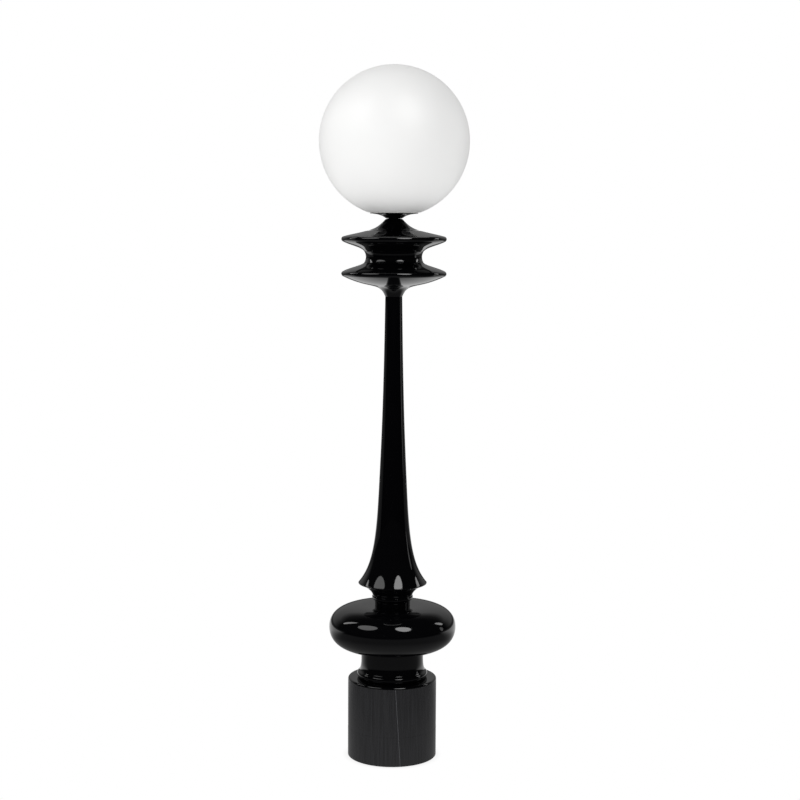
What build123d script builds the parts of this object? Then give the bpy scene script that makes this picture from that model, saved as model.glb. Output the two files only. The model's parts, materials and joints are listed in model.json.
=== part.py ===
from build123d import *
from math import acos, cos, degrees, radians, sin, sqrt
import os

os.makedirs("parts", exist_ok=True)

# A globe floor lamp: a hollow drum that holds an iron weight, a stack of turned and lacquered
# pieces clamped on one threaded tube, and an opal globe that lifts off a shallow dish.
# Millimetres, +Z up, origin on the floor at the lamp's axis, the cord inlet towards +Y.

# Fits
bore_gap = 0.5        # radial room round the tube in the turned pieces
snug = 0.05           # radial room of a screw or nut on its own thread, or of a spigot
slip = 0.3            # room between pieces that only stand beside one another

# Foot pads and bottom plate
pad_count = 4
pad_radius = 11.0
pad_thickness = 1.0
pad_inset = 29.0            # from the drum's outside to a pad's centre
plate_thickness = 3.0
plate_screw_count = 4
plate_screw_radius = 2.0
plate_screw_head = 4.0
plate_screw_length = 18.0

# Drum
drum_radius = 90.5
drum_height = 163.0
drum_wall = 14.0
drum_top_wall = 12.0
drum_lip = 4.2              # thickness of the top where it covers the side
drum_edge_round = 4.0
drum_foot_chamfer = 0.8
rebate_lip = 4.0            # wall left outside the plate's rebate
foot_ring_height = 60.0
ring_tongue = 5.0           # thickness of the tongue between foot ring and side
ring_tongue_height = 3.0

# Weight
weight_height = 60.0
weight_edge = 2.0
weight_bolt_count = 3
weight_bolt_radius = 3.0
weight_bolt_head = 6.0
weight_bolt_length = 22.0
weight_bolt_inset = 31.2    # from the weight's edge to a bolt's axis
weight_bolt_start = 45.0    # bearing of the first bolt, clear of the pads
notch_width = 26.0          # way for the supply lead behind the inlet
notch_depth = 24.0

# Cord inlet
inlet_height = 28.0         # bore's axis above the floor
inlet_bore = 3.6
inlet_barrel = 6.0
inlet_flange = 9.0
inlet_flange_thickness = 2.5
inlet_flange_round = 0.8
inlet_spot_depth = 1.0
inlet_nut_flats = 17.0
inlet_nut_thickness = 4.0
inlet_tail = 1.5            # barrel past its nut

# Terminal block and leads
block_length = 46.0
block_width = 16.0
block_height = 18.0
block_round = 1.5
pole_pitch = 10.0
pole_bore = 1.4
pole_depth = 9.0
pole_screw_radius = 1.5
pole_screw_drop = 5.0       # below the block's top
pole_slot_width = 0.6
pole_slot_depth = 0.5
block_screw_radius = 1.6
block_screw_head = 3.0
block_screw_head_height = 1.8
block_screw_bite = 8.0      # length in the weight
block_screw_inset = 4.5     # from the block's end
lead_radius = 1.0
lead_circle = 1.9           # leads' centres round the tube's axis
lead_rise = 12.0            # straight stretch above the block
lead_bend = 14.0

# Threaded tube, its nuts and washers
tube_radius = 5.0
tube_bore = 3.6
tube_tail = 4.0             # tube below its bottom nut
nut_flats = 17.0
nut_thickness = 5.0
bottom_washer_radius = 24.0
bottom_washer_thickness = 2.0
top_washer_radius = 12.0
top_washer_thickness = 1.5
top_nut_thickness = 4.0
tube_reach = 2.0            # tube above the floor of the holder's cap

# Base neck with its foot ring
neck_height = 57.5
neck_radius = 63.3
neck_flare = 3.5            # neck's growth down to the ring
ring_radius = 72.0
ring_height = 14.0
ring_foot_inset = 4.5
ring_quirk = 1.5            # small step on top of the ring
neck_top_chamfer = 1.4

# Cushion: a flattened ball
cushion_radius = 129.4
cushion_height = 92.0
cushion_belly = 48.4        # widest level above the cushion's foot
cushion_flat = 51.0         # radius of the flat on both faces

# Collar
collar_height = 20.5
collar_foot = 36.0
collar_lip = 42.0
collar_lip_drop = 5.5       # lip below the collar's top

# Column with its flare
column_height = 609.0
column_foot = 40.8
column_top = 17.1
column_top_taper = 0.012    # growth of the radius per millimetre downwards, at the top
flare_radius = 69.8
flare_rise = 27.0           # rim's top above the column's foot
flare_edge = 2.4
rim_bevel = 0.7             # the thin rims' corners, back from their crest

# Disc spool
disc_radius = 105.4
disc_edge_round = 5.5
lower_disc_height = 68.0
lower_rim_rise = 45.4       # rim above the disc's foot
lower_disc_turns = (64.0, 60.0)   # the round edge's turn down and up to the two faces, degrees
disc_joint = 59.4           # radius where discs and waist meet
waist_height = 22.0
waist_radius = 56.2
upper_disc_height = 42.0
upper_rim_rise = 24.6
upper_disc_turns = (60.0, 74.0)
disc_crown = 50.8           # radius at the upper disc's top

# Upper neck and globe dish
upper_neck_height = 23.5
upper_neck_waist = 16.0
dish_height = 10.9
dish_radius = 48.3
dish_edge = 1.0

# Globe and its seat
gasket_thickness = 1.2
gasket_inner = 44.0
gasket_outer = 47.6
globe_radius = 150.0
globe_wall = 3.0
globe_opening = 43.5
globe_seat = 52.4           # outer radius of the ground flat
globe_lip = 3.6             # height of the thick rim inside
globe_lip_fall = 0.6        # slope of that rim towards the opening
globe_lip_round = 1.5

# Gallery plate and spring clips
gallery_radius = 40.0
gallery_thickness = 1.2
clip_count = 3
clip_width = 8.0
clip_thickness = 0.8
clip_height = 18.0
clip_foot = 17.0            # length of the flat foot
clip_toe = 3.2              # inward lean of the free end
clip_heel = 0.5             # reach past the gallery plate's edge
clip_bulge_height = 8.0     # of the stretch that presses on the glass
clip_bend = 2.0
rivet_radius = 1.6
rivet_head = 3.0
rivet_head_height = 1.2

# Lampholder
holder_radius = 20.5
holder_wall = 2.0
cap_boss = 8.0
cap_boss_height = 5.0
cap_dome_height = 7.0
cap_height = 24.0
cap_floor = 8.0             # thickness over the boss
cap_ledge = 2.0
spigot_height = 6.0
core_height = 10.0
core_edge = 0.5
core_well_circle = 9.5
core_well_radius = 2.2
core_well_depth = 4.0
shell_lip = 4.8
shell_lip_height = 2.0
shell_chamfer = 1.0

# Screw thread of lamp and holder, drawn as rings
thread_mid = 12.65
thread_depth = 0.55
thread_pitch = 3.63
thread_rings = 5
thread_gap = 0.2
thread_rise = 10.0          # first ring above the core
screw_shell_wall = 0.4
screw_shell_flange = 16.2
contact_lift = 3.6
contact_width = 4.0
contact_thickness = 0.4
contact_foot = 9.0          # the tongue's foot, out from the axis
contact_reach = 3.5         # the tongue's raised end
contact_slope = 3.0

# Lamp bulb
bulb_radius = 30.0
bulb_dome_rise = 74.0       # dome's centre above the first ring
bulb_dome_cut = 8.0         # dome's lower edge below its centre
bulb_wall = 1.2
bulb_body_wall = 1.5
bulb_neck = 14.2
cap_rim = 5.0               # plain band above the rings
insulator_height = 3.4
insulator_radius = 9.0
insulator_tip = 5.0
contact_radius = 4.0
contact_height = 1.2
contact_bevel = 0.6
board_thickness = 1.6
board_drop = 3.0            # board's underside below the dome's edge
emitter_count = 8
emitter_size = 3.0
emitter_height = 0.7

# Heights, worked out from the floor up
plate_low = pad_thickness
plate_high = plate_low + plate_thickness
drum_low = pad_thickness
drum_high = drum_low + drum_height
drum_ceiling = drum_high - drum_top_wall
drum_joint = drum_high - drum_lip
foot_ring_high = drum_low + foot_ring_height
weight_high = plate_high + weight_height
neck_high = drum_high + neck_height
cushion_high = neck_high + cushion_height
collar_high = cushion_high + collar_height
column_high = collar_high + column_height
lower_disc_high = column_high + lower_disc_height
waist_high = lower_disc_high + waist_height
upper_disc_high = waist_high + upper_disc_height
upper_neck_high = upper_disc_high + upper_neck_height
dish_high = upper_neck_high + dish_height
gallery_high = dish_high + gallery_thickness
top_washer_high = gallery_high + top_washer_thickness
top_nut_high = top_washer_high + top_nut_thickness
globe_low = dish_high + gasket_thickness
globe_centre = globe_low + sqrt(globe_radius ** 2 - globe_seat ** 2)
cap_high = top_nut_high + cap_height
core_low = cap_high - spigot_height
core_high = core_low + core_height
thread_low = core_high + thread_rise
thread_high = thread_low + thread_rings * thread_pitch
bulb_cap_high = thread_high + cap_rim
dome_centre = thread_low + bulb_dome_rise
dome_low = dome_centre - bulb_dome_cut
tube_low = drum_ceiling - bottom_washer_thickness - nut_thickness - tube_tail
tube_high = top_nut_high + cap_floor + tube_reach

# Radii, worked out
bore = tube_radius + bore_gap
thread_bore = tube_radius + snug
cavity = drum_radius - drum_wall
plate_seat = drum_radius - rebate_lip
weight_radius = cavity - slip
pad_circle = drum_radius - pad_inset
weight_bolt_circle = weight_radius - weight_bolt_inset
plate_screw_circle = (cavity + plate_seat) / 2
holder_inner = holder_radius - holder_wall
spigot_radius = holder_inner - snug
core_radius = spigot_radius - holder_wall


def rod(radius, low, high, x=0.0, y=0.0):
    """An upright cylinder between two heights."""
    upright = (Align.CENTER, Align.CENTER, Align.MIN)
    return Pos(x, y, low) * Cylinder(radius, high - low, align=upright)


def tube_piece(outer, inner, low, high):
    """An upright ring or tube."""
    return rod(outer, low, high) - rod(inner, low, high)


def spin(edges):
    """A solid of revolution from a closed outline in the XZ plane."""
    return revolve(Plane.XZ * make_face(edges), Axis.Z)


def spun(*points):
    """A solid of revolution from a closed polygon of (radius, height) points."""
    return spin(Polyline(*points, close=True).edges())


def turned(skin, hole=bore):
    """A turned piece with a bore: skin runs from its lower to its upper outer corner."""
    low = skin[0] @ 0
    high = skin[-1] @ 1
    foot = Line((hole, low.Y), (low.X, low.Y))
    head = Line((high.X, high.Y), (hole, high.Y))
    wall = Line((hole, high.Y), (hole, low.Y))
    return spin([foot, *skin, head, wall])


def around(count, radius, start=0.0):
    """Places on a circle, each turned to face outwards."""
    return [Rot(0, 0, start + i * 360 / count) * Pos(radius, 0, 0) for i in range(count)]


def flat_screw(shank, head, length, gap=0.0):
    """A countersunk screw, head downwards, its flat on z = 0; gap makes it a cutter."""
    cone = head - shank
    points = [(0, 0), (head + gap, 0), (shank + gap, cone), (shank + gap, length + gap), (0, length + gap)]
    return spun(*points)


def cross_recess(width, depth):
    """The driver's cross in a screw head that faces down."""
    bar = (Align.CENTER, Align.CENTER, Align.MIN)
    return Box(width, width / 4, depth, align=bar) + Box(width / 4, width, depth, align=bar)


def hex_nut(flats, thickness, hole, low):
    """A hexagon nut with its lower face at a height."""
    body = extrude(RegularPolygon(flats / sqrt(3), 6), thickness)
    return Pos(0, 0, low) * (body - rod(hole, 0, thickness))


def ring_wall(middle, low):
    """The wavy side of the lamp thread: arcs that bulge out and in by turns."""
    half = thread_pitch / 2
    wall = []
    for i in range(2 * thread_rings):
        start = low + i * half
        crest = middle + (thread_depth if i % 2 == 0 else -thread_depth)
        wall.append(ThreePointArc((middle, start), (crest, start + half / 2), (middle, start + half)))
    return wall


# Base
def foot_pads():
    pad = rod(pad_radius, 0, pad_thickness)
    return [place * pad for place in around(pad_count, pad_circle)]


def plate_screw_places():
    places = around(plate_screw_count, plate_screw_circle, 180 / plate_screw_count)
    return [Pos(0, 0, plate_low) * place for place in places]


def weight_bolt_places():
    places = around(weight_bolt_count, weight_bolt_circle, weight_bolt_start)
    return [Pos(0, 0, plate_low) * place for place in places]


def plate_screws():
    screw = flat_screw(plate_screw_radius, plate_screw_head, plate_screw_length)
    screw -= cross_recess(plate_screw_head, plate_screw_radius / 2)
    return [place * screw for place in plate_screw_places()]


def weight_bolts():
    bolt = flat_screw(weight_bolt_radius, weight_bolt_head, weight_bolt_length)
    bolt -= cross_recess(weight_bolt_head, weight_bolt_radius / 2)
    return [place * bolt for place in weight_bolt_places()]


def base_screw_holes():
    """Cutters for every screw that passes the bottom plate."""
    screw = flat_screw(plate_screw_radius, plate_screw_head, plate_screw_length, snug)
    bolt = flat_screw(weight_bolt_radius, weight_bolt_head, weight_bolt_length, snug)
    holes = [place * screw for place in plate_screw_places()]
    return holes + [place * bolt for place in weight_bolt_places()]


def base_plate():
    return rod(plate_seat - slip, plate_low, plate_high) - base_screw_holes()


def block_screw_spots():
    reach = block_length / 2 - block_screw_inset
    return [(-reach, 0), (reach, 0)]


def base_weight():
    """An iron disc with bevelled edges, notched behind the inlet."""
    low = (weight_radius - weight_edge, plate_high)
    low_side = (weight_radius, plate_high + weight_edge)
    high_side = (weight_radius, weight_high - weight_edge)
    high = (weight_radius - weight_edge, weight_high)
    disc = spun((0, plate_high), low, low_side, high_side, high, (0, weight_high))
    notch = Pos(0, weight_radius, plate_high) * Box(
        notch_width, 2 * notch_depth, 3 * weight_height, align=(Align.CENTER, Align.CENTER, Align.CENTER))
    disc = disc - notch - base_screw_holes()
    for x, y in block_screw_spots():
        disc -= rod(block_screw_radius + snug, weight_high - block_screw_bite - snug, weight_high, x, y)
    return disc


def tongue(gap):
    """The tongue on top of the foot ring; gap makes it the cutter of the groove above."""
    middle = (drum_radius + cavity) / 2
    half = ring_tongue / 2 + gap
    return tube_piece(middle + half, middle - half, foot_ring_high, foot_ring_high + ring_tongue_height + gap)


def foot_ring():
    """The drum's lower ring: rebate for the plate below, hole for the inlet at the rear."""
    foot = drum_radius - drum_foot_chamfer
    ring = spun((cavity, drum_low), (foot, drum_low), (drum_radius, drum_low + drum_foot_chamfer),
                (drum_radius, foot_ring_high), (cavity, foot_ring_high))
    ring -= rod(plate_seat, drum_low, plate_high)
    ring -= base_screw_holes()
    ring -= inlet_rod(inlet_barrel + snug, cavity / 2, 2 * drum_radius)
    ring -= inlet_rod(inlet_flange + slip, drum_radius - inlet_spot_depth, 2 * drum_radius)
    return ring + tongue(0)


def drum_side():
    """The ring above it, as wide, grooved for its tongue."""
    return tube_piece(drum_radius, cavity, foot_ring_high, drum_joint) - tongue(snug)


def drum_top():
    """The drum's top: a disc let into the side, with a thin round lip over it."""
    shoulder = drum_high - drum_edge_round
    spigot = cavity - snug
    skin = [
        *Polyline((spigot, drum_ceiling), (spigot, drum_joint), (drum_radius, drum_joint),
                  (drum_radius, shoulder)).edges(),
        JernArc((drum_radius, shoulder), (0, 1), drum_edge_round, 90),
    ]
    return turned(skin)


# Cord inlet
def inlet_rod(radius, near, far):
    """A cylinder along +Y on the inlet's axis, between two distances from the lamp's axis."""
    along = (Align.CENTER, Align.CENTER, Align.MIN)
    return Pos(0, near, inlet_height) * Rot(-90, 0, 0) * Cylinder(radius, far - near, align=along)


def inlet_nut_face():
    """Where the nut's corners meet the drum's curved inside."""
    corner = inlet_nut_flats / sqrt(3)
    return sqrt(cavity ** 2 - corner ** 2) - snug


def inlet_places():
    """The flange's seat, the flange's outer face and the barrel's inner end."""
    seat = drum_radius - inlet_spot_depth
    tail = inlet_nut_face() - inlet_nut_thickness - inlet_tail
    return seat, seat + inlet_flange_thickness, tail


def cord_inlet():
    seat, face, tail = inlet_places()
    flange = inlet_rod(inlet_flange, seat, face)
    outer_edge = flange.edges().filter_by(GeomType.CIRCLE).sort_by(Axis.Y)[-1]
    flange = fillet(outer_edge, inlet_flange_round)
    barrel = inlet_rod(inlet_barrel, tail, seat + inlet_flange_thickness / 2)
    return flange + barrel - inlet_rod(inlet_bore, tail - slip, face + slip)


def inlet_nut():
    face = inlet_nut_face()
    nut = hex_nut(inlet_nut_flats, inlet_nut_thickness, inlet_barrel + snug, 0)
    return Pos(0, face - inlet_nut_thickness, inlet_height) * Rot(-90, 0, 0) * nut


# Wiring
pole_spots = [-pole_pitch, 0.0, pole_pitch]
block_high = weight_high + block_height


def pole_screw(x, gap=0.0):
    """A clamp screw that runs in from the block's front face to the lead."""
    near = -block_width / 2
    tip = -lead_radius - snug + gap
    height = block_high - pole_screw_drop
    along = (Align.CENTER, Align.CENTER, Align.MIN)
    return Pos(x, near, height) * Rot(-90, 0, 0) * Cylinder(pole_screw_radius + gap, tip - near, align=along)


def terminal_block():
    body = Pos(0, 0, weight_high) * Box(
        block_length, block_width, block_height, align=(Align.CENTER, Align.CENTER, Align.MIN))
    body = fillet(body.edges().filter_by(Axis.Z), block_round)
    for x in pole_spots:
        body -= rod(pole_bore, block_high - pole_depth, block_high, x)
        body -= pole_screw(x, snug)
    for x, y in block_screw_spots():
        body -= rod(block_screw_radius + snug, weight_high, block_high, x, y)
        body -= rod(block_screw_head + slip, block_high - block_screw_head_height - slip, block_high, x, y)
    return body


def pole_screws():
    slot = Box(2 * pole_screw_radius, 2 * pole_slot_depth, pole_slot_width)
    screws = []
    for x in pole_spots:
        cut = Pos(x, -block_width / 2, block_high - pole_screw_drop) * slot
        screws.append(pole_screw(x) - cut)
    return screws


def block_screws():
    seat = block_high - block_screw_head_height - slip
    screws = []
    for x, y in block_screw_spots():
        shank = rod(block_screw_radius, weight_high - block_screw_bite, seat, x, y)
        head = rod(block_screw_head, seat, seat + block_screw_head_height, x, y)
        screws.append(shank + head)
    return screws


def lead(x_pole, bearing):
    """An insulated lead from its pole, up inside the tube, to the holder's core."""
    x_tube = lead_circle * cos(radians(bearing))
    y_tube = lead_circle * sin(radians(bearing))
    start = block_high - pole_depth + snug
    knee = block_high + lead_rise
    mouth = tube_low - lead_rise
    path = FilletPolyline(
        (x_pole, 0, start), (x_pole, 0, knee), (x_tube, y_tube, mouth), (x_tube, y_tube, core_low),
        radius=lead_bend)
    section = Plane(origin=(x_pole, 0, start), z_dir=(0, 0, 1)) * Circle(lead_radius)
    return sweep(section, path)


# Threaded tube
def stem_tube():
    return tube_piece(tube_radius, tube_bore, tube_low, tube_high)


def bottom_washer():
    low = drum_ceiling - bottom_washer_thickness
    return tube_piece(bottom_washer_radius, tube_radius + bore_gap, low, drum_ceiling)


def bottom_nut():
    low = drum_ceiling - bottom_washer_thickness - nut_thickness
    return hex_nut(nut_flats, nut_thickness, thread_bore, low)


def top_washer():
    return tube_piece(top_washer_radius, tube_radius + bore_gap, gallery_high, top_washer_high)


def top_nut():
    return hex_nut(nut_flats, top_nut_thickness, thread_bore, top_washer_high)


# Turned stack
def base_neck():
    """A short neck that swells into a round foot ring."""
    ring_foot = ring_radius - ring_foot_inset
    quirk = neck_radius + neck_flare
    ring_top = drum_high + ring_height
    shoulder = neck_high - neck_top_chamfer
    rise = shoulder - ring_top - ring_quirk
    skin = [
        ThreePointArc((ring_foot, drum_high), (ring_radius, drum_high + ring_height / 2),
                      (quirk + ring_quirk, ring_top)),
        Line((quirk + ring_quirk, ring_top), (quirk, ring_top + ring_quirk)),
        Bezier((quirk, ring_top + ring_quirk),
               (quirk - 1.26 * neck_flare, ring_top + ring_quirk + 0.22 * rise),
               (neck_radius, ring_top + ring_quirk + 0.53 * rise), (neck_radius, shoulder)),
        Line((neck_radius, shoulder), (neck_radius - neck_top_chamfer, neck_high)),
    ]
    return turned(skin)


def base_cushion():
    """A flattened ball with a full round edge."""
    belly = neck_high + cushion_belly
    swell = cushion_radius - cushion_flat
    lower = Bezier(
        (cushion_flat, neck_high), (cushion_flat + 0.3 * swell, neck_high),
        (cushion_radius, belly - 0.97 * cushion_belly), (cushion_radius, belly))
    upper = Bezier(
        (cushion_radius, belly), (cushion_radius, belly + 0.97 * (cushion_height - cushion_belly)),
        (cushion_flat + 0.3 * swell, cushion_high), (cushion_flat, cushion_high))
    return turned([lower, upper])


def collar():
    """A small cup under the column, widest at its lip."""
    lip_height = collar_high - collar_lip_drop
    cove = cushion_high + 0.3 * collar_height
    skin = [
        Line((collar_foot, cushion_high), (collar_foot, cove)),
        Spline((collar_foot, cove), (collar_lip, lip_height), tangents=[(0, 1), (1, 1.4)]),
        Bezier((collar_lip, lip_height), (collar_lip, collar_high - 0.2 * collar_lip_drop),
               (column_foot, collar_high)),
    ]
    return turned(skin)


def column():
    """A slender trumpet: undercut flare with a sharp round rim, then a long taper."""
    rim_top = collar_high + flare_rise
    rim_low = rim_top - flare_edge
    spread = flare_radius - column_top
    rise = column_high - rim_top
    brim = flare_radius - rim_bevel - column_foot
    lift = rim_low - collar_high
    under = Bezier(
        (column_foot, collar_high), (column_foot, collar_high + 0.43 * lift),
        (column_foot + 0.72 * brim, collar_high + 0.9 * lift), (flare_radius - rim_bevel, rim_low))
    rim = ThreePointArc((flare_radius - rim_bevel, rim_low), (flare_radius, (rim_low + rim_top) / 2),
                        (flare_radius - rim_bevel, rim_top))
    middle = (column_top + 0.14 * spread, rim_top + 0.48 * rise)
    turn = (column_top + 0.32 * rise * column_top_taper, rim_top + 0.68 * rise)
    brake = (middle[0] - 1.47 * (turn[0] - middle[0]), middle[1] - 1.47 * (turn[1] - middle[1]))
    sweep_in = Bezier(
        (flare_radius - rim_bevel, rim_top), (column_top + 0.332 * spread, rim_top + 0.0735 * rise),
        brake, middle)
    taper = Bezier(middle, turn, (column_top, column_high))
    return turned([under, rim, sweep_in, taper])


def disc_edge(rim, turns):
    """The round edge between a disc's two faces, turned as far as each face slopes."""
    centre = (disc_radius - disc_edge_round, rim)
    down, up = turns
    return CenterArc(centre, disc_edge_round, -down, down + up)


def lower_disc():
    """A lens-shaped disc on a short trumpet."""
    rim = column_high + lower_rim_rise
    edge = disc_edge(rim, lower_disc_turns)
    spread = disc_radius - column_top
    swell = disc_radius - disc_joint
    rise = lower_disc_height - lower_rim_rise
    under = Bezier(
        (column_top, column_high), (column_top + 0.134 * spread, column_high + 0.67 * lower_rim_rise),
        edge @ 0 - edge % 0 * 0.7 * spread, edge @ 0)
    over = Bezier(
        edge @ 1, edge @ 1 + edge % 1 * 0.342 * swell,
        (disc_joint + 0.078 * swell, rim + 0.733 * rise), (disc_joint, lower_disc_high))
    return turned([under, edge, over])


def disc_waist():
    """A shallow cove between the two discs."""
    middle = lower_disc_high + waist_height / 2
    skin = [ThreePointArc((disc_joint, lower_disc_high), (waist_radius, middle), (disc_joint, waist_high))]
    return turned(skin)


def upper_disc():
    """The second lens-shaped disc, its top sweeping in to the neck."""
    rim = waist_high + upper_rim_rise
    edge = disc_edge(rim, upper_disc_turns)
    swell = disc_radius - disc_joint
    crown = disc_radius - disc_crown
    rise = upper_disc_high - rim
    under = Bezier(
        (disc_joint, waist_high), (disc_joint + 0.139 * swell, waist_high + 0.37 * upper_rim_rise),
        edge @ 0 - edge % 0 * 0.335 * swell, edge @ 0)
    over = Bezier(
        edge @ 1, edge @ 1 + edge % 1 * 0.264 * crown,
        (disc_crown + 0.386 * crown, rim + 0.672 * rise), (disc_crown, upper_disc_high))
    return turned([under, edge, over])


def upper_neck():
    """A concave cone up to the narrow waist under the dish."""
    spread = disc_crown - upper_neck_waist
    side = Bezier(
        (disc_crown, upper_disc_high),
        (upper_neck_waist + 0.454 * spread, upper_disc_high + 0.217 * upper_neck_height),
        (upper_neck_waist + 0.2 * spread, upper_disc_high + 0.677 * upper_neck_height),
        (upper_neck_waist, upper_neck_high))
    return turned([side])


def globe_dish():
    """A thin shallow dish that flares quickly to a fine rim."""
    spread = dish_radius - upper_neck_waist
    edge_low = dish_high - dish_edge
    under = Bezier(
        (upper_neck_waist, upper_neck_high),
        (upper_neck_waist + 0.294 * spread, upper_neck_high + 0.69 * dish_height),
        (upper_neck_waist + 0.526 * spread, upper_neck_high + 0.78 * dish_height),
        (dish_radius - rim_bevel, edge_low))
    rim = ThreePointArc((dish_radius - rim_bevel, edge_low), (dish_radius, (edge_low + dish_high) / 2),
                        (dish_radius - rim_bevel, dish_high))
    return turned([under, rim])


# Globe and its seat
def globe_gasket():
    return tube_piece(gasket_outer, gasket_inner, dish_high, globe_low)


def globe():
    """An opal glass ball with a ground flat round its opening and a thick inner rim."""
    inside = globe_radius - globe_wall
    lip_high = globe_low + globe_lip
    lip_angle = -degrees(acos(globe_inside_radius(lip_high) / inside))
    seat_angle = -degrees(acos(globe_seat / globe_radius))
    centre = (0, globe_centre)
    knee = globe_opening + globe_lip_round
    knee_high = lip_high - globe_lip_fall
    slope = globe_lip_round * cos(radians(45))
    outline = [
        Line((globe_opening, globe_low), (globe_seat, globe_low)),
        CenterArc(centre, globe_radius, seat_angle, 90 - seat_angle),
        Line((0, globe_centre + globe_radius), (0, globe_centre + inside)),
        CenterArc(centre, inside, 90, lip_angle - 90),
        Line((globe_inside_radius(lip_high), lip_high), (knee, knee_high)),
        ThreePointArc((knee, knee_high), (knee - slope, knee_high - globe_lip_round + slope),
                      (globe_opening, knee_high - globe_lip_round)),
        Line((globe_opening, knee_high - globe_lip_round), (globe_opening, globe_low)),
    ]
    return spin(outline)


def globe_inside_radius(height):
    """The ball's inner radius at a height."""
    return sqrt((globe_radius - globe_wall) ** 2 - (globe_centre - height) ** 2)


def rivet_places():
    spot = gallery_radius - clip_foot / 2
    return [Pos(0, 0, gallery_high) * place for place in around(clip_count, spot, 60)]


def gallery_plate():
    """A pressed disc that carries the three clips."""
    plate = tube_piece(gallery_radius, tube_radius + bore_gap, dish_high, gallery_high)
    for place in rivet_places():
        plate -= place * rod(rivet_radius + snug, -2 * gallery_thickness, gallery_thickness)
    return plate


def spring_clips():
    """Three leaf springs that press on the globe's opening from inside."""
    half = clip_thickness / 2
    heel = gallery_radius + clip_heel
    corner_lead = clip_width ** 2 / (8 * globe_opening)     # a flat strip's corners come nearer the glass
    bulge = globe_opening - slip - corner_lead - half
    path = FilletPolyline(
        (gallery_radius - clip_foot, half), (heel, half), (bulge, half + clip_bulge_height),
        (bulge - clip_toe, half + clip_height), radius=clip_bend)
    strip = trace(path, clip_thickness)
    leaf = extrude(Plane.XZ * strip, clip_width / 2, both=True)
    leaf = Pos(0, 0, gallery_high) * leaf
    hole = Pos(gallery_radius - clip_foot / 2, 0, gallery_high) * rod(
        rivet_radius + snug, -clip_thickness, 2 * clip_thickness)
    return [turn * (leaf - hole) for turn in around(clip_count, 0, 60)]


def clip_rivets():
    rivet = rod(rivet_radius, -gallery_thickness, clip_thickness)
    rivet += rod(rivet_head, clip_thickness, clip_thickness + rivet_head_height)
    return [place * rivet for place in rivet_places()]


# Lampholder
def holder_cap():
    """The lower cap: a threaded boss, a dome, and a spigot for the outer shell."""
    boss_high = top_nut_high + cap_boss_height
    dome_high = boss_high + cap_dome_height
    floor = top_nut_high + cap_floor
    ledge = spigot_radius - holder_wall - cap_ledge
    boss_edge = (cap_boss, boss_high)
    dome_edge = (holder_radius, dome_high)
    crest = (cap_boss + cos(radians(45)) * (holder_radius - cap_boss),
             dome_high - cos(radians(45)) * cap_dome_height)
    walls = Polyline(
        dome_edge, (holder_radius, core_low), (spigot_radius, core_low), (spigot_radius, cap_high),
        (core_radius + snug, cap_high), (core_radius + snug, core_low), (ledge, core_low),
        (ledge, floor), (thread_bore, floor), (thread_bore, top_nut_high), (cap_boss, top_nut_high),
        boss_edge)
    return spin([ThreePointArc(boss_edge, crest, dome_edge), *walls.edges()])


def holder_core():
    """The ceramic core that carries the contacts, with its screws' wells."""
    core = chamfer(rod(core_radius, core_low, core_high).edges().filter_by(GeomType.CIRCLE), core_edge)
    for place in around(2, core_well_circle, 90):
        core -= place * rod(core_well_radius, core_high - core_well_depth, core_high)
    return core


def holder_shell():
    """The outer sleeve, turned in at its mouth."""
    high = thread_high + shell_lip_height
    mouth = holder_radius - shell_lip
    return spun(
        (holder_inner, core_low), (holder_radius, core_low), (holder_radius, high - shell_chamfer),
        (holder_radius - shell_chamfer, high), (mouth, high), (mouth, thread_high),
        (holder_inner, thread_high))


def screw_shell():
    """The brass thread of the holder, with a foot flange."""
    inner = thread_mid + thread_gap
    outer = inner + screw_shell_wall
    foot = core_high + screw_shell_wall
    inside = ring_wall(inner, thread_low)
    outside = ring_wall(outer, thread_low)
    outline = [
        *inside, Line((inner, thread_high), (outer, thread_high)), *outside,
        Line((outer, thread_low), (outer, foot)), Line((outer, foot), (screw_shell_flange, foot)),
        Line((screw_shell_flange, foot), (screw_shell_flange, core_high)),
        Line((screw_shell_flange, core_high), (inner, core_high)),
        Line((inner, core_high), (inner, thread_low)),
    ]
    return spin(outline)


def centre_contact():
    """A bent brass tongue under the lamp's contact."""
    foot = core_high + contact_thickness / 2
    top = core_high + contact_lift - contact_thickness / 2
    path = Polyline(
        (-contact_foot, foot), (-contact_reach, foot), (contact_slope - contact_reach, top),
        (contact_reach, top))
    return extrude(Plane.XZ * trace(path, contact_thickness), contact_width / 2, both=True)


# Lamp bulb
insulator_low = core_high + contact_lift + slip + contact_height


def bulb_cap():
    """The bulb's threaded cap, an open shell."""
    inner = thread_mid - thread_depth - 2 * screw_shell_wall
    low = insulator_low + insulator_height
    outline = [
        Line((insulator_radius, low), (thread_mid, thread_low)), *ring_wall(thread_mid, thread_low),
        Line((thread_mid, thread_high), (thread_mid, bulb_cap_high)),
        Line((thread_mid, bulb_cap_high), (inner, bulb_cap_high)),
        Line((inner, bulb_cap_high), (inner, thread_low)), Line((inner, thread_low), (insulator_radius, low)),
    ]
    return spin(outline)


def bulb_insulator():
    low = insulator_low
    high = low + insulator_height
    return spun((0, low), (insulator_tip, low), (insulator_radius, high), (0, high))


def bulb_contact():
    low = insulator_low - contact_height
    return spun((0, low), (contact_radius - contact_bevel, low), (contact_radius, low + contact_bevel),
                (contact_radius, insulator_low), (0, insulator_low))


bulb_rim = sqrt(bulb_radius ** 2 - bulb_dome_cut ** 2)
board_low = dome_low - board_drop


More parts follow.
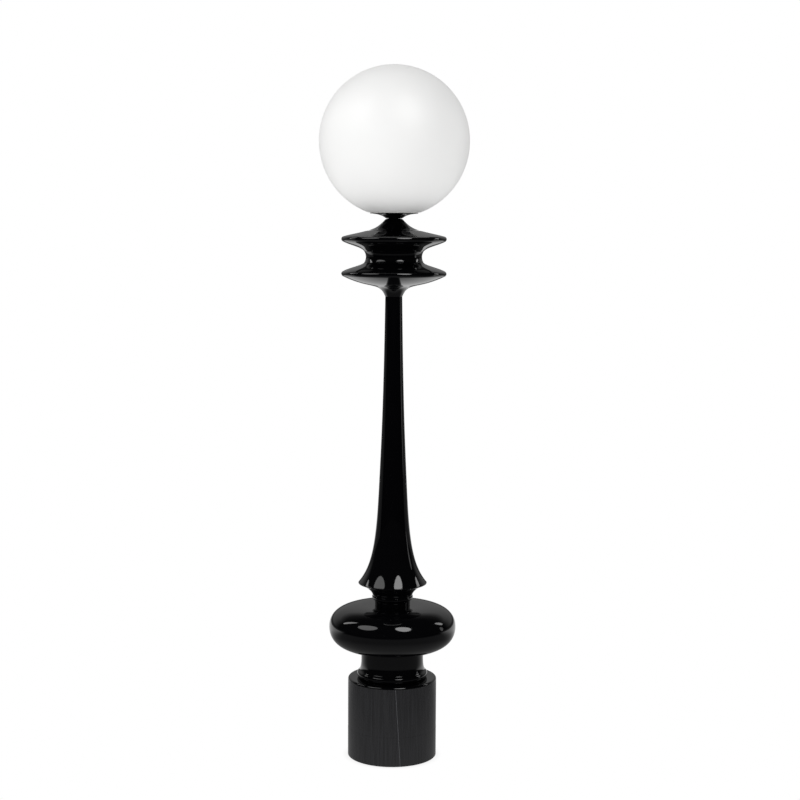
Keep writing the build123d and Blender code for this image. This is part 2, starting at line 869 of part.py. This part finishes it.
def bulb_body():
    """The cone between the cap and the dome, with a ledge for the board."""
    throat = bulb_neck - bulb_body_wall
    rim_inner = bulb_rim - bulb_body_wall
    ledge = rim_inner - bulb_body_wall
    outline = [
        Line((throat, bulb_cap_high), (bulb_neck, bulb_cap_high)),
        Spline((bulb_neck, bulb_cap_high), (bulb_rim, dome_low), tangents=[(0.15, 1), (0.3, 1)]),
        Line((bulb_rim, dome_low), (rim_inner, dome_low)),
        Line((rim_inner, dome_low), (rim_inner, board_low)),
        Line((rim_inner, board_low), (ledge, board_low)),
        Line((ledge, board_low), (throat, bulb_cap_high)),
    ]
    return spin(outline)


def led_board():
    """A round board with small square emitters."""
    board = rod(bulb_rim - bulb_body_wall - snug, board_low, board_low + board_thickness)
    emitter = Pos(0, 0, board_low + board_thickness) * Box(
        emitter_size, emitter_size, emitter_height, align=(Align.CENTER, Align.CENTER, Align.MIN))
    for place in around(emitter_count, 0.6 * bulb_rim):
        board += place * emitter
    return board


def bulb_diffuser():
    """An opal dome, open below."""
    inside = bulb_radius - bulb_wall
    outer_angle = -degrees(acos(bulb_rim / bulb_radius))
    inner_rim = sqrt(inside ** 2 - bulb_dome_cut ** 2)
    inner_angle = -degrees(acos(inner_rim / inside))
    centre = (0, dome_centre)
    outline = [
        Line((inner_rim, dome_low), (bulb_rim, dome_low)),
        CenterArc(centre, bulb_radius, outer_angle, 90 - outer_angle),
        Line((0, dome_centre + bulb_radius), (0, dome_centre + inside)),
        CenterArc(centre, inside, 90, inner_angle - 90),
    ]
    return spin(outline)


nodes = {
    "foot_pads": foot_pads(),
    "base_plate": base_plate(),
    "plate_screws": plate_screws(),
    "base_weight": base_weight(),
    "weight_bolts": weight_bolts(),
    "foot_ring": foot_ring(),
    "drum_side": drum_side(),
    "drum_top": drum_top(),
    "cord_inlet": cord_inlet(),
    "inlet_nut": inlet_nut(),
    "terminal_block": terminal_block(),
    "pole_screws": pole_screws(),
    "block_screws": block_screws(),
    "lead_live": lead(-pole_pitch, 210),
    "lead_neutral": lead(pole_pitch, 330),
    "lead_earth": lead(0, 90),
    "stem_tube": stem_tube(),
    "bottom_washer": bottom_washer(),
    "bottom_nut": bottom_nut(),
    "base_neck": base_neck(),
    "base_cushion": base_cushion(),
    "collar": collar(),
    "column": column(),
    "lower_disc": lower_disc(),
    "disc_waist": disc_waist(),
    "upper_disc": upper_disc(),
    "upper_neck": upper_neck(),
    "globe_dish": globe_dish(),
    "globe_gasket": globe_gasket(),
    "gallery_plate": gallery_plate(),
    "spring_clips": spring_clips(),
    "clip_rivets": clip_rivets(),
    "top_washer": top_washer(),
    "top_nut": top_nut(),
    "holder_cap": holder_cap(),
    "holder_core": holder_core(),
    "holder_shell": holder_shell(),
    "screw_shell": screw_shell(),
    "centre_contact": centre_contact(),
    "bulb_cap": bulb_cap(),
    "bulb_insulator": bulb_insulator(),
    "bulb_contact": bulb_contact(),
    "bulb_body": bulb_body(),
    "led_board": led_board(),
    "bulb_diffuser": bulb_diffuser(),
    "globe": globe(),
}

for name, shape in nodes.items():
    solids = shape if isinstance(shape, list) else [shape]
    whole = solids[0] if len(solids) == 1 else Compound(children=solids)
    export_step(whole, f"parts/{name}.step")
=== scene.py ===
import json
from math import cos, pi, radians, sin

import bpy
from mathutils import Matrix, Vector

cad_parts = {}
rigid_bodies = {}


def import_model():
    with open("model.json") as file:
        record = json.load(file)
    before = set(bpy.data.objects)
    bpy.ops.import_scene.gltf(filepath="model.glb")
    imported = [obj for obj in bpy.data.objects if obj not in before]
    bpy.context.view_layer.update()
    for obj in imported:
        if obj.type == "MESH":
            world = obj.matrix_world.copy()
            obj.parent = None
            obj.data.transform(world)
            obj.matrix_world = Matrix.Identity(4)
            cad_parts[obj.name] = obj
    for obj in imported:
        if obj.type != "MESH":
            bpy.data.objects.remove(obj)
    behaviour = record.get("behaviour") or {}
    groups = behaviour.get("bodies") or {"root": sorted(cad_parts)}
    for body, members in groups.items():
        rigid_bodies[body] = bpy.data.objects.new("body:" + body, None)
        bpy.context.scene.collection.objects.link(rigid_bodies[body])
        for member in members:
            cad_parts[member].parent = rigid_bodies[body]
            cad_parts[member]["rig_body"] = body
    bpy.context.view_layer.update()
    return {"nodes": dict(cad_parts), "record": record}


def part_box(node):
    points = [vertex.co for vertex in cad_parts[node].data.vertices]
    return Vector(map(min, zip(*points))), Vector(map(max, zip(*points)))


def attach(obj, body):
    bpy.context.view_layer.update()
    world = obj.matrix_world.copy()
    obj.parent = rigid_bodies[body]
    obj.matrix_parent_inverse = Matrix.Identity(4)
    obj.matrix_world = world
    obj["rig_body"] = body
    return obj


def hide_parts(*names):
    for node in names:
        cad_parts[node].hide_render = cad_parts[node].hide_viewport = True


# A globe floor lamp: opal glass on a stack of turned, black lacquered pieces. Metres, floor at z = 0.
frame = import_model()
nodes = frame["nodes"]
mm = 0.001
hair = 0.001 * mm  # places nearer than this are the same place
sharpAngle = 35  # degrees: edges that bend more stay crisp
print("frame loaded,", len(nodes), "nodes")

slotOf = {}
for part in frame["record"]["subparts"]:
    slotOf[part["node"]] = part["material_slot"]


# picking, editing and finishing a mesh
def pick(piece):
    bpy.ops.object.select_all(action="DESELECT")
    piece.select_set(True)
    bpy.context.view_layer.objects.active = piece


def startEdit(piece):
    pick(piece)
    bpy.ops.object.mode_set(mode="EDIT")
    bpy.ops.mesh.select_mode(type="VERT")
    bpy.ops.mesh.select_all(action="SELECT")


def endEdit():
    bpy.ops.object.mode_set(mode="OBJECT")


def selectVertices(piece, wanted):
    # from edit mode: leaves only the vertices selected whose place is wanted
    endEdit()
    for face in piece.data.polygons:
        face.select = False
    for edge in piece.data.edges:
        edge.select = False
    for vertex in piece.data.vertices:
        vertex.select = wanted(vertex.co)
    bpy.ops.object.mode_set(mode="EDIT")


def applyModifier(piece, kind, **values):
    pick(piece)
    modifier = piece.modifiers.new(kind.title(), kind)
    for name, value in values.items():
        setattr(modifier, name, value)
    bpy.ops.object.modifier_apply(modifier=modifier.name)


def finishPiece(piece, node):
    # smooth shading, the node's material and body, and the node hidden behind the piece
    pick(piece)
    bpy.ops.object.shade_smooth_by_angle(angle=radians(sharpAngle))
    piece.data.materials.clear()
    piece.data.materials.append(materialOf(node))
    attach(piece, nodes[node]["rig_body"])
    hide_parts(node)


# what every material is made with
noiseMiddle = (0.3, 0.7)  # nearly all of a noise's values lie between these


def toLinear(hexColour):
    # an sRGB hex colour as Blender's linear colour
    channels = [int(hexColour[i:i + 2], 16) / 255 for i in (1, 3, 5)]
    linear = [c / 12.92 if c <= 0.04045 else ((c + 0.055) / 1.055) ** 2.4 for c in channels]
    return (*linear, 1.0)


def addNode(owner, kind, settings=None, links=None):
    # one shader node, with its settings by attribute or socket name and its incoming links
    node = owner.node_tree.nodes.new(kind)
    for name, value in (settings or {}).items():
        if hasattr(node, str(name)):
            setattr(node, name, value)
        else:
            node.inputs[name].default_value = value
    for name, source in (links or {}).items():
        owner.node_tree.links.new(source, node.inputs[name])
    return node


def startMaterial(name, colour, settings):
    material = bpy.data.materials.new(name)
    material.use_nodes = True
    shader = material.node_tree.nodes["Principled BSDF"]
    shader.inputs["Base Color"].default_value = toLinear(colour)
    for socket, value in settings.items():
        shader.inputs[socket].default_value = value
    return material, shader


def surfaceNoise(material, sizeMm, stretch=(1, 1, 1), detail=3):
    # noise on the piece's own coordinates, its blobs sizeMm wide
    place = addNode(material, "ShaderNodeTexCoord")
    turn = addNode(material, "ShaderNodeMapping", {"Scale": stretch}, {"Vector": place.outputs["Object"]})
    settings = {"Scale": 1 / (sizeMm * mm), "Detail": detail}
    return addNode(material, "ShaderNodeTexNoise", settings, {"Vector": turn.outputs["Vector"]}).outputs[0]


def spread(material, source, low, high):
    # a noise's useful middle, spread between two values
    settings = {"From Min": noiseMiddle[0], "From Max": noiseMiddle[1], "To Min": low, "To Max": high}
    return addNode(material, "ShaderNodeMapRange", settings, {"Value": source}).outputs["Result"]


def calculate(owner, operation, first, second=0.0):
    # one calculation with one or two numbers or sockets
    node = addNode(owner, "ShaderNodeMath", {"operation": operation})
    for i, value in enumerate((first, second)):
        if isinstance(value, (int, float)):
            node.inputs[i].default_value = value
        else:
            owner.node_tree.links.new(value, node.inputs[i])
    return node.outputs[0]


def blendColours(material, source, low, high):
    # a noise's useful middle, as a blend of two colours
    ramp = addNode(material, "ShaderNodeValToRGB", links={"Fac": source})
    for stop, position, colour in zip(ramp.color_ramp.elements, noiseMiddle, (low, high)):
        stop.position = position
        stop.color = toLinear(colour)
    return ramp.outputs["Color"]


def mixTones(owner, share, first, second):
    # two tones mixed by a share, each a linear colour or a socket
    mix = addNode(owner, "ShaderNodeMix", {"data_type": "RGBA"}, {"Factor": share})
    for socket, tone in ((mix.inputs[6], first), (mix.inputs[7], second)):
        if isinstance(tone, tuple):
            socket.default_value = tone
        else:
            owner.node_tree.links.new(tone, socket)
    return mix.outputs[2]


def addRelief(material, shader, height, depthMm):
    relief = addNode(material, "ShaderNodeBump", {"Distance": depthMm * mm}, {"Height": height})
    material.node_tree.links.new(relief.outputs["Normal"], shader.inputs["Normal"])


glossLacquerLook = {"colour": "#030304", "ior": 1.5, "roughness": (0.03, 0.08), "hazeMm": 45.0,
                    "peelMm": 5.0, "peelDepthMm": 0.006}


def makeGlossLacquer():
    # polyurethane lacquer, sprayed and buffed over turned hardwood: deep black, mirror gloss, a trace of
    # orange peel and broad soft changes of gloss
    look = glossLacquerLook
    material, shader = startMaterial("glossLacquer", look["colour"], {"IOR": look["ior"]})
    haze = surfaceNoise(material, look["hazeMm"], detail=4)
    material.node_tree.links.new(spread(material, haze, *look["roughness"]), shader.inputs["Roughness"])
    peel = surfaceNoise(material, look["peelMm"], detail=1)
    addRelief(material, shader, peel, look["peelDepthMm"])
    return material


openPoreLook = {
    "dark": "#1a1a1b", "light": "#262628", "ior": 1.5, "roughness": (0.14, 0.26),
    "grainMm": 2.2, "grainStretch": 0.03, "poreDepthMm": 0.012,
    # the pale line painted down the drum: its width and its bearing at the top in degrees, degrees it leans
    # per metre of drop
    "paleLine": "#57575a", "paleLineWidth": 0.35, "paleLineTop": 4.7, "paleLineSlope": 40.0, "paleLineHeight": 158 * mm,
}


def makeOpenPoreLacquer():
    # lacquered ash veneer, bent round the drum: its pores run up and down and show as faint streaks, and
    # a thin pale line is painted down the drum near the front, leaning a little as it drops
    look = openPoreLook
    material, shader = startMaterial("openPoreLacquer", look["dark"], {"IOR": look["ior"]})
    grain = surfaceNoise(material, look["grainMm"], (1, 1, look["grainStretch"]), 4)
    wood = blendColours(material, grain, look["dark"], look["light"])
    place = addNode(material, "ShaderNodeTexCoord")
    axes = addNode(material, "ShaderNodeSeparateXYZ", links={"Vector": place.outputs["Object"]}).outputs
    front = calculate(material, "MULTIPLY", axes["Y"], -1.0)
    bearing = calculate(material, "MULTIPLY", calculate(material, "ARCTAN2", axes["X"], front), 180 / pi)
    drop = calculate(material, "SUBTRACT", look["paleLineHeight"], axes["Z"])
    lean = calculate(material, "MULTIPLY", drop, look["paleLineSlope"])
    paleLine = calculate(material, "ADD", lean, look["paleLineTop"])
    off = calculate(material, "ABSOLUTE", calculate(material, "SUBTRACT", bearing, paleLine))
    onPaleLine = calculate(material, "LESS_THAN", off, look["paleLineWidth"] / 2)
    # a thin pale line painted into the drum's colour near the front, leaning as it drops
    tone = mixTones(material, onPaleLine, wood, toLinear(look["paleLine"]))
    material.node_tree.links.new(tone, shader.inputs["Base Color"])
    material.node_tree.links.new(spread(material, grain, *look["roughness"]), shader.inputs["Roughness"])
    addRelief(material, shader, grain, look["poreDepthMm"])
    return material


opalGlassLook = {"colour": "#f3f3f2", "ior": 1.5, "roughness": (0.42, 0.5), "etchMm": 1.5,
                 "scatterMm": 5.0, "scatterShare": 0.3}


def makeOpalGlass():
    # blown opal glass, acid etched: white all through, light spreads inside it, soft satin gloss
    look = opalGlassLook
    scatter = look["scatterMm"] * mm
    material, shader = startMaterial("etchedOpalGlass", look["colour"], {
        "IOR": look["ior"], "Subsurface Weight": look["scatterShare"],
        "Subsurface Radius": (scatter, scatter, scatter), "Subsurface Scale": 1.0})
    etch = surfaceNoise(material, look["etchMm"], detail=2)
    material.node_tree.links.new(spread(material, etch, *look["roughness"]), shader.inputs["Roughness"])
    return material


feltLook = {"dark": "#2a2a2a", "light": "#4a4a49", "roughness": 0.95, "sheen": 0.4, "fibreMm": 0.6,
            "depthMm": 0.15}


def makeFelt():
    # pressed wool felt: matt, mottled grey fibres
    look = feltLook
    settings = {"Roughness": look["roughness"], "Sheen Weight": look["sheen"]}
    material, shader = startMaterial("pressedFelt", look["dark"], settings)
    fibre = surfaceNoise(material, look["fibreMm"], detail=5)
    tone = blendColours(material, fibre, look["dark"], look["light"])
    material.node_tree.links.new(tone, shader.inputs["Base Color"])
    addRelief(material, shader, fibre, look["depthMm"])
    return material


metalLooks = {
    # name: dark and light colour, roughness from and to, grain size and stretch, relief in mm
    "zincPlatedSteel": ("#9a9ca0", "#b4b6ba", (0.26, 0.42), 3.0, (1, 1, 1), 0.004),
    "temperedSpringSteel": ("#6f6d69", "#8a8884", (0.22, 0.34), 0.8, (1, 1, 0.05), 0.004),
    "drawnBrass": ("#b08a3e", "#c9a456", (0.2, 0.34), 1.2, (1, 1, 0.1), 0.004),
    "platedNickel": ("#b9b7b1", "#c9c7c2", (0.1, 0.2), 2.0, (1, 1, 1), 0.002),
    "dullSolder": ("#8f9092", "#a5a6a8", (0.4, 0.55), 0.9, (1, 1, 1), 0.02),
}


def makeMetal(name):
    # plated, rolled or drawn metal: fine grain in its gloss, slight changes of tone
    dark, light, roughness, sizeMm, stretch, depthMm = metalLooks[name]
    material, shader = startMaterial(name, light, {"Metallic": 1.0})
    grain = surfaceNoise(material, sizeMm, stretch)
    material.node_tree.links.new(blendColours(material, grain, dark, light), shader.inputs["Base Color"])
    material.node_tree.links.new(spread(material, grain, *roughness), shader.inputs["Roughness"])
    addRelief(material, shader, grain, depthMm)
    return material


plainLooks = {
    # name: dark and light colour, IOR, roughness from and to, grain size in mm, relief in mm
    "primedCastIron": ("#232323", "#31302f", 1.5, (0.6, 0.8), 1.6, 0.12),
    "blackNylon": ("#101010", "#181818", 1.53, (0.34, 0.46), 0.7, 0.02),
    "whitePolyamide": ("#d9d8d2", "#e4e3de", 1.53, (0.4, 0.5), 0.9, 0.01),
    "brownLeadInsulation": ("#4b2f1c", "#573824", 1.53, (0.35, 0.45), 1.5, 0.01),
    "blueLeadInsulation": ("#2f5fb0", "#3a6bbb", 1.53, (0.35, 0.45), 1.5, 0.01),
    "greenLeadInsulation": ("#3f9a3a", "#4aa844", 1.53, (0.35, 0.45), 1.5, 0.01),
    "clearSilicone": ("#cfcfcc", "#dededb", 1.41, (0.35, 0.5), 1.2, 0.01),
    "blackPhenolic": ("#0d0c0c", "#141313", 1.6, (0.16, 0.26), 1.0, 0.006),
    "firedSteatite": ("#d8d4c8", "#e5e2d8", 1.6, (0.5, 0.65), 0.5, 0.02),
    "blackCapGlass": ("#0c0c10", "#121217", 1.5, (0.08, 0.14), 1.0, 0.004),
    "whiteBulbPlastic": ("#e6e6e3", "#eeeeec", 1.58, (0.28, 0.36), 0.8, 0.006),
    "whiteSolderMask": ("#dfe1df", "#eceeec", 1.5, (0.3, 0.4), 1.2, 0.004),
}


def makePlain(name):
    # moulded, fired or primed surfaces: fine grain, slight changes of tone and gloss
    dark, light, ior, roughness, sizeMm, depthMm = plainLooks[name]
    material, shader = startMaterial(name, light, {"IOR": ior})
    grain = surfaceNoise(material, sizeMm)
    material.node_tree.links.new(blendColours(material, grain, dark, light), shader.inputs["Base Color"])
    material.node_tree.links.new(spread(material, grain, *roughness), shader.inputs["Roughness"])
    addRelief(material, shader, grain, depthMm)
    return material


opalDiffuserLook = {"colour": "#f0efea", "ior": 1.49, "roughness": (0.4, 0.5), "frostMm": 0.9,
                    "scatterMm": 6.0, "scatterShare": 0.5}


def makeOpalDiffuser():
    # satin opal acrylic of a bulb's dome: milky, soft edged
    look = opalDiffuserLook
    scatter = look["scatterMm"] * mm
    material, shader = startMaterial("satinOpalAcrylic", look["colour"], {
        "IOR": look["ior"], "Subsurface Weight": look["scatterShare"],
        "Subsurface Radius": (scatter, scatter, scatter), "Subsurface Scale": 1.0})
    frost = surfaceNoise(material, look["frostMm"], detail=2)
    material.node_tree.links.new(spread(material, frost, *look["roughness"]), shader.inputs["Roughness"])
    return material


lacquer = makeGlossLacquer()
veneer = makeOpenPoreLacquer()
nodeMaterial = {"foot_ring": veneer, "drum_side": veneer}  # the drum's side has a finish of its own
slotMaterial = {
    "black_lacquer": lacquer,
    "black_enamel": lacquer,  # the dish's enamel is as black and glossy
    "opal_glass": makeOpalGlass(),
    "grey_felt": makeFelt(),
    "zinc_steel": makeMetal("zincPlatedSteel"),
    "cast_iron": makePlain("primedCastIron"),
    "black_nylon": makePlain("blackNylon"),
    "block_plastic": makePlain("whitePolyamide"),
    "brass": makeMetal("drawnBrass"),
    "lead_brown": makePlain("brownLeadInsulation"),
    "lead_blue": makePlain("blueLeadInsulation"),
    "lead_green": makePlain("greenLeadInsulation"),
    "silicone": makePlain("clearSilicone"),
    "spring_steel": makeMetal("temperedSpringSteel"),
    "black_phenolic": makePlain("blackPhenolic"),
    "steatite": makePlain("firedSteatite"),
    "nickel_shell": makeMetal("platedNickel"),
    "black_glass": makePlain("blackCapGlass"),
    "solder": makeMetal("dullSolder"),
    "white_plastic": makePlain("whiteBulbPlastic"),
    "board_white": makePlain("whiteSolderMask"),
    "opal_plastic": makeOpalDiffuser(),
}


def materialOf(node):
    return nodeMaterial.get(node) or slotMaterial[slotOf[node]]


for node, part in nodes.items():
    part.data.materials.clear()
    part.data.materials.append(materialOf(node))
print("materials made:", len(slotMaterial), "slots")

# turned pieces: the node's own outline, cut on the lathe's plane, spun finely and smoothed
turning = {
    "nodes": ("drum_side", "drum_top", "base_neck", "base_cushion", "collar", "column",
              "lower_disc", "disc_waist", "upper_disc", "upper_neck", "globe_dish",
              "holder_cap", "holder_shell", "bulb_body"),
    "steps": 96, "weld": 0.01 * mm, "smoothing": 1,
    # edges that bend more than edgeAngle degrees are rounded, and less where two narrow edges meet
    "edgeAngle": 50, "edgeSteps": 2, "edgeRound": 0.35 * mm, "fineRound": 0.1 * mm,
    "fineNodes": ("upper_neck", "globe_dish"),
}


def spinOutline(node):
    piece = bpy.data.objects.new(node + "Turned", nodes[node].data.copy())
    bpy.context.collection.objects.link(piece)
    startEdit(piece)
    bpy.ops.mesh.remove_doubles(threshold=hair)
    bpy.ops.mesh.bisect(plane_co=(0, 0, 0), plane_no=(0, 1, 0), clear_inner=True, clear_outer=True)
    selectVertices(piece, lambda place: place.x < -hair)
    bpy.ops.mesh.delete(type="VERT")
    bpy.ops.mesh.select_all(action="SELECT")
    bpy.ops.mesh.remove_doubles(threshold=turning["weld"])
    bpy.ops.mesh.spin(steps=turning["steps"], angle=2 * pi, center=(0, 0, 0), axis=(0, 0, 1))
    bpy.ops.mesh.select_all(action="SELECT")
    bpy.ops.mesh.remove_doubles(threshold=turning["weld"])
    bpy.ops.mesh.normals_make_consistent(inside=False)
    bpy.ops.mesh.customdata_custom_splitnormals_clear()
    endEdit()
    return piece


for node in turning["nodes"]:
    piece = spinOutline(node)
    edgeRound = turning["fineRound"] if node in turning["fineNodes"] else turning["edgeRound"]
    applyModifier(piece, "BEVEL", width=edgeRound, segments=turning["edgeSteps"], limit_method="ANGLE",
                  angle_limit=radians(turning["edgeAngle"]))
    applyModifier(piece, "SUBSURF", levels=turning["smoothing"], render_levels=turning["smoothing"])
    finishPiece(piece, node)
    print("turned", node, len(nodes[node].data.vertices), "->", len(piece.data.polygons), "faces")


# blown and moulded shells: part of a ball, with a flat edge turned in round the opening
shellLooks = {
    # opening is the radius that the flat edge reaches in to; without one the shell is just cut off
    "globe": {"wall": 3.0 * mm, "opening": 43.5 * mm, "edgeRound": 0.8 * mm, "rings": 96, "segments": 192},
    "bulb_diffuser": {"wall": 1.2 * mm, "opening": None, "edgeRound": 0.3 * mm, "rings": 48, "segments": 96},
}
shellEdge = {"angle": 40, "steps": 3}


def openShell(node):
    look = shellLooks[node]
    low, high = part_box(node)
    radius = (high[0] - low[0]) / 2
    bpy.ops.object.select_all(action="DESELECT")
    bpy.ops.mesh.primitive_uv_sphere_add(segments=look["segments"], ring_count=look["rings"], radius=radius,
                                         location=(0, 0, high[2] - radius))
    piece = bpy.context.object
    piece.name = node + "Shell"
    pick(piece)
    bpy.ops.object.transform_apply()
    startEdit(piece)
    bpy.ops.mesh.bisect(plane_co=(0, 0, low[2]), plane_no=(0, 0, 1), clear_inner=True)
    if look["opening"]:
        selectVertices(piece, lambda place: place.z < low[2] + hair)
        rim = max(vertex.co.x for vertex in piece.data.vertices if vertex.co.z < low[2] + hair)
        bpy.ops.mesh.extrude_edges_move()
        share = look["opening"] / rim
        bpy.ops.transform.resize(value=(share, share, 1), center_override=(0, 0, low[2]))
    endEdit()
    applyModifier(piece, "SOLIDIFY", thickness=look["wall"], offset=-1, use_even_offset=True)
    applyModifier(piece, "BEVEL", width=look["edgeRound"], segments=shellEdge["steps"], limit_method="ANGLE",
                  angle_limit=radians(shellEdge["angle"]))
    finishPiece(piece, node)
    print("shell", node, len(piece.data.polygons), "faces")


for node in shellLooks:
    openShell(node)

# camera: at the photograph's distance, height and angle
view = {"place": (0.0118, -3.325, 1.0846), "pitch": 6.015, "roll": -0.27, "lens": 74.52, "sensor": 36}


def placeCamera():
    camera = bpy.data.objects.new("Camera", bpy.data.cameras.new("Camera"))
    camera.data.lens = view["lens"]
    camera.data.sensor_width = view["sensor"]
    camera.location = view["place"]
    camera.rotation_euler = (radians(90 - view["pitch"]), radians(view["roll"]), 0)
    bpy.context.collection.objects.link(camera)
    bpy.context.scene.camera = camera


placeCamera()

# studio: a pale floor, soft boxes that only gloss sees, two broad lights for the white glass, a white room
studio = {
    "middle": (0, 0, 0.9),
    "boxes": {
        # bearing from the camera's side in degrees, distance, height of middle, width, tall, brightness
        "leftRear": (-112, 2.4, 2.3, 0.4, 1.5, 2.4),
        "frontLeft": (-62, 2.0, 2.7, 1.7, 1.7, 1.7),
        "frontRight": (28, 1.8, 2.8, 1.2, 1.8, 4.4),
        "rightRear": (112, 2.6, 1.9, 0.5, 1.0, 2.4),
        "rightLow": (100, 2.6, 0.75, 0.35, 0.8, 0.7),
    },
    # the white glass's two lights, given the same way
    "key": (-50, 2.6, 2.9, 1.6, 1.6, 2.2),
    "bounce": (-15, 1.7, 0.3, 1.6, 0.9, 1.3),
    "floorSize": 60.0, "floorReach": 5.0, "floorFill": 0.88,
    # what gloss sees of the floor: a grey by the distance, as a share of the reach, in front and to the rear
    "floorStops": ((0.0, 0.28), (0.07, 0.2), (0.12, 0.11), (0.3, 0.12), (0.5, 0.05), (0.75, 0.0)),
    "rearStops": ((0.0, 0.3), (0.08, 0.5), (0.24, 0.9), (0.62, 0.9), (0.8, 0.1)),
    "rearStarts": 0.1, "rearFull": 1.0,
    # what gloss sees of the room: a wall at the rear, a grey by its height, and next to nothing elsewhere
    "wallStops": ((0.0, 0.04), (0.1, 0.24), (0.45, 0.34), (0.62, 0.08), (0.8, 0.02)),
    "wallStarts": 0.35, "wallFull": 0.8, "sideDim": 0.01,
    "roomFill": 0.85,
    # the contact shadow: how far it reaches, how dark it gets, and the openness between which it fades
    "contactReach": 16 * mm, "contactDark": 0.88, "contactOpen": (0.4, 0.95),
}


def addSoftBox(name, spot, forGloss):
    bearing, distance, height, width, tall, brightness = spot
    data = bpy.data.lights.new(name, "AREA")
    data.shape = "ELLIPSE"
    data.size = width
    data.size_y = tall
    data.energy = brightness * pi * width * tall
    box = bpy.data.objects.new(name, data)
    angle = radians(bearing)
    box.location = (distance * sin(angle), -distance * cos(angle), height)
    towards = Vector(studio["middle"]) - box.location
    box.rotation_euler = towards.to_track_quat("-Z", "Y").to_euler()
    box.visible_diffuse = not forGloss
    box.visible_glossy = forGloss
    bpy.context.collection.objects.link(box)


def greyTone(value):
    return (value, value, value, 1)


def greyRamp(owner, source, greys):
    # a grey that changes with a value, through a list of places and greys
    ramp = addNode(owner, "ShaderNodeValToRGB", links={"Fac": source})
    stops = ramp.color_ramp.elements
    for i, (position, value) in enumerate(greys):
        stop = stops[i] if i < 2 else stops.new(position)
        stop.position = position
        stop.color = greyTone(value)
    return ramp.outputs["Color"]


def blendToRear(owner, depth, starts, full, front, rear):
    # from one tone in front to another at the rear
    settings = {"interpolation_type": "SMOOTHSTEP", "From Min": starts, "From Max": full}
    share = addNode(owner, "ShaderNodeMapRange", settings, {"Value": depth})
    return mixTones(owner, share.outputs["Result"], front, rear)


def chooseByRay(owner, target, fill, gloss, white):
    # into the target: white for the camera, gloss for mirror rays, fill for all others
    rays = addNode(owner, "ShaderNodeLightPath")
    link = owner.node_tree.links.new
    glossy = addNode(owner, "ShaderNodeMixShader", links={"Fac": rays.outputs["Is Glossy Ray"]})
    link(fill.outputs[0], glossy.inputs[1])
    link(gloss.outputs[0], glossy.inputs[2])
    seen = addNode(owner, "ShaderNodeMixShader", links={"Fac": rays.outputs["Is Camera Ray"]})
    link(glossy.outputs[0], seen.inputs[1])
    link(white.outputs[0], seen.inputs[2])
    link(seen.outputs[0], target.inputs["Surface"])


def makeFloorMaterial():
    # the camera sees white with a soft contact shadow; gloss sees it dim in front and pale to the rear, and
    # the white glass gets an even light from it
    material = bpy.data.materials.new("paleFloor")
    material.use_nodes = True
    shaders = material.node_tree.nodes
    shaders.remove(shaders["Principled BSDF"])
    place = addNode(material, "ShaderNodeTexCoord").outputs["Object"]
    length = addNode(material, "ShaderNodeVectorMath", {"operation": "LENGTH"}, {0: place})
    share = calculate(material, "DIVIDE", length.outputs["Value"], studio["floorReach"])
    depth = addNode(material, "ShaderNodeSeparateXYZ", links={"Vector": place}).outputs["Y"]
    front = greyRamp(material, share, studio["floorStops"])
    rear = greyRamp(material, share, studio["rearStops"])
    tone = blendToRear(material, depth, studio["rearStarts"], studio["rearFull"], front, rear)
    gloss = addNode(material, "ShaderNodeEmission", links={"Color": tone})
    fill = addNode(material, "ShaderNodeEmission", {"Strength": studio["floorFill"]})
    hollow = addNode(material, "ShaderNodeAmbientOcclusion", {"Distance": studio["contactReach"]})
    closed, opened = studio["contactOpen"]
    settings = {"From Min": closed, "From Max": opened, "To Min": studio["contactDark"], "To Max": 1.0}
    shade = addNode(material, "ShaderNodeMapRange", settings, {"Value": hollow.outputs["AO"]})
    white = addNode(material, "ShaderNodeEmission", links={"Strength": shade.outputs["Result"]})
    chooseByRay(material, shaders["Material Output"], fill, gloss, white)
    return material


def makeRoom():
    # white to the camera, even for diffuse light; gloss sees a grey wall low behind the lamp, dark elsewhere
    world = bpy.data.worlds.new("studioRoom")
    bpy.context.scene.world = world
    world.use_nodes = True
    shaders = world.node_tree.nodes
    direction = addNode(world, "ShaderNodeTexCoord").outputs["Generated"]
    axes = addNode(world, "ShaderNodeSeparateXYZ", links={"Vector": direction}).outputs
    side = greyTone(studio["sideDim"])
    wall = greyRamp(world, axes["Z"], studio["wallStops"])
    tone = blendToRear(world, axes["Y"], studio["wallStarts"], studio["wallFull"], side, wall)
    gloss = addNode(world, "ShaderNodeBackground", links={"Color": tone})
    fill = shaders["Background"]
    fill.inputs["Color"].default_value = greyTone(studio["roomFill"])
    white = addNode(world, "ShaderNodeBackground", {"Color": greyTone(1)})
    chooseByRay(world, shaders["World Output"], fill, gloss, white)


def buildStudio():
    for name, spot in studio["boxes"].items():
        addSoftBox(name, spot, True)
    addSoftBox("key", studio["key"], False)
    addSoftBox("bounce", studio["bounce"], False)
    bpy.ops.object.select_all(action="DESELECT")
    bpy.ops.mesh.primitive_plane_add(size=studio["floorSize"])
    floor = bpy.context.object
    floor.name = "studioFloor"
    floor.data.materials.append(makeFloorMaterial())
    makeRoom()


buildStudio()
bpy.context.scene.view_settings.view_transform = "Standard"
print("studio and camera placed")
